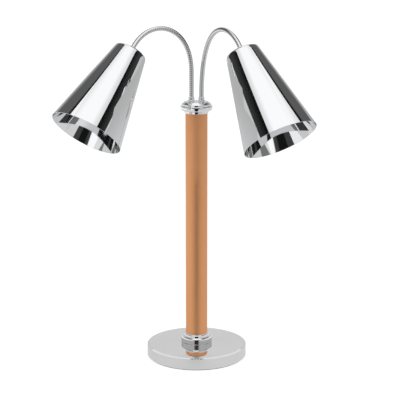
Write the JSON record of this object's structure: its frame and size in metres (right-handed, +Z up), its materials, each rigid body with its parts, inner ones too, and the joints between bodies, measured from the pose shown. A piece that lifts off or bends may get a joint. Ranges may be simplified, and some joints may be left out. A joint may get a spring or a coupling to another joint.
{
  "type": "heat lamp warmer",
  "caption": "Double-arm food heat lamp: a weighted round base, a copper-coloured post and flexible goosenecks with conical chrome shades.",
  "frame": {"origin": "centre of the round base, on the surface it stands on", "axes": "+Z up along the post; -Y towards the food, the side where the post and the shades stand; +X to the right seen from that side"},
  "size_m": [0.5686, 0.5198, 0.8117],
  "materials": {
    "chrome": "polished, mirror-bright, with fine spinning marks",
    "satin_chrome": "satin plating, even and only faintly reflective",
    "post_copper": "satin copper-coloured plating",
    "zinc_steel": "satin zinc-plated",
    "cast_iron": "matte black-painted casting",
    "pad_rubber": "matte",
    "gland_nylon": "matte moulded nylon",
    "porcelain": "gloss glazed",
    "socket_brass": "satin",
    "bulb_glass": "gloss, silvered inside, with a stippled lens",
    "bulb_cap": "satin",
    "lead_insulation": "matte heat-resistant sleeving"
  },
  "bodies": {
    "stand": {"base_pad": "pad_rubber", "bottom_plate": "zinc_steel", "base_weight": "cast_iron", "base_cover": "satin_chrome", "plate_screw_1": "zinc_steel", "plate_screw_2": "zinc_steel", "plate_screw_3": "zinc_steel", "plate_screw_4": "zinc_steel", "cord_gland": "gland_nylon", "gland_nut": "zinc_steel", "foot_gasket": "pad_rubber", "post_stub": "post_copper", "tie_pipe": "zinc_steel", "tie_washer": "zinc_steel", "tie_nut_lower": "zinc_steel", "collar_lower": "chrome", "collar_upper": "chrome", "collar_trim_ring": "chrome", "post_tube": "post_copper", "top_insert": "zinc_steel", "tie_nut_upper": "zinc_steel", "top_cap": "chrome", "mains_lead": "lead_insulation", "left_neck_ferrule": "chrome", "left_neck_nut": "zinc_steel", "right_neck_ferrule": "chrome", "right_neck_nut": "zinc_steel"},
    "left_neck_lower": {"left_neck_link_1": "chrome", "left_lamp_lead_1": "lead_insulation"},
    "left_neck_middle": {"left_neck_link_2": "chrome", "left_lamp_lead_2": "lead_insulation"},
    "left_neck_upper": {"left_neck_link_3": "chrome", "left_lamp_lead_3": "lead_insulation"},
    "left_head": {"left_neck_link_4": "chrome", "left_lamp_lead_4": "lead_insulation", "left_shade_ferrule": "chrome", "left_shade": "chrome", "left_shade_nut": "zinc_steel", "left_socket": "porcelain", "left_socket_shell": "socket_brass", "left_socket_contact": "socket_brass", "left_bulb_glass": "bulb_glass", "left_bulb_base": "bulb_cap"},
    "right_neck_lower": {"right_neck_link_1": "chrome", "right_lamp_lead_1": "lead_insulation"},
    "right_neck_middle": {"right_neck_link_2": "chrome", "right_lamp_lead_2": "lead_insulation"},
    "right_neck_upper": {"right_neck_link_3": "chrome", "right_lamp_lead_3": "lead_insulation"},
    "right_head": {"right_neck_link_4": "chrome", "right_lamp_lead_4": "lead_insulation", "right_shade_ferrule": "chrome", "right_shade": "chrome", "right_shade_nut": "zinc_steel", "right_socket": "porcelain", "right_socket_shell": "socket_brass", "right_socket_contact": "socket_brass", "right_bulb_glass": "bulb_glass", "right_bulb_base": "bulb_cap"}
  },
  "joints": [
    {"name": "left_neck_swing", "type": "hinge", "parent": "stand", "child": "left_neck_lower", "pos_m": [-0.0115, -0.085, 0.64], "axis": [0, 0, -1], "range_deg": [-15, 70]},
    {"name": "left_neck_lean", "type": "hinge", "parent": "left_neck_lower", "child": "left_neck_middle", "pos_m": [-0.0115, -0.085, 0.6965], "axis": [0.4067, -0.9135, 0], "range_deg": [-20, 20]},
    {"name": "left_neck_arch", "type": "hinge", "parent": "left_neck_middle", "child": "left_neck_upper", "pos_m": [-0.04668, -0.09333, 0.79283], "axis": [-0.4067, 0.9135, 0], "range_deg": [-10, 30]},
    {"name": "left_shade_tilt", "type": "hinge", "parent": "left_neck_upper", "child": "left_head", "pos_m": [-0.12125, -0.12462, 0.78919], "axis": [0.5736, -0.8192, 0], "range_deg": [-30, 15]},
    {"name": "right_neck_swing", "type": "hinge", "parent": "stand", "child": "right_neck_lower", "pos_m": [0.0115, -0.085, 0.64], "axis": [0, 0, 1], "range_deg": [-15, 70]},
    {"name": "right_neck_lean", "type": "hinge", "parent": "right_neck_lower", "child": "right_neck_middle", "pos_m": [0.01304, -0.0877, 0.69637], "axis": [0.848, 0.5299, 0], "range_deg": [-20, 20]},
    {"name": "right_neck_arch", "type": "hinge", "parent": "right_neck_middle", "child": "right_neck_upper", "pos_m": [0.03533, -0.12601, 0.791], "axis": [-0.848, -0.5299, 0], "range_deg": [-10, 30]},
    {"name": "right_shade_tilt", "type": "hinge", "parent": "right_neck_upper", "child": "right_head", "pos_m": [0.07854, -0.19527, 0.79673], "axis": [0.788, 0.6157, 0], "range_deg": [-30, 15]}
  ]
}
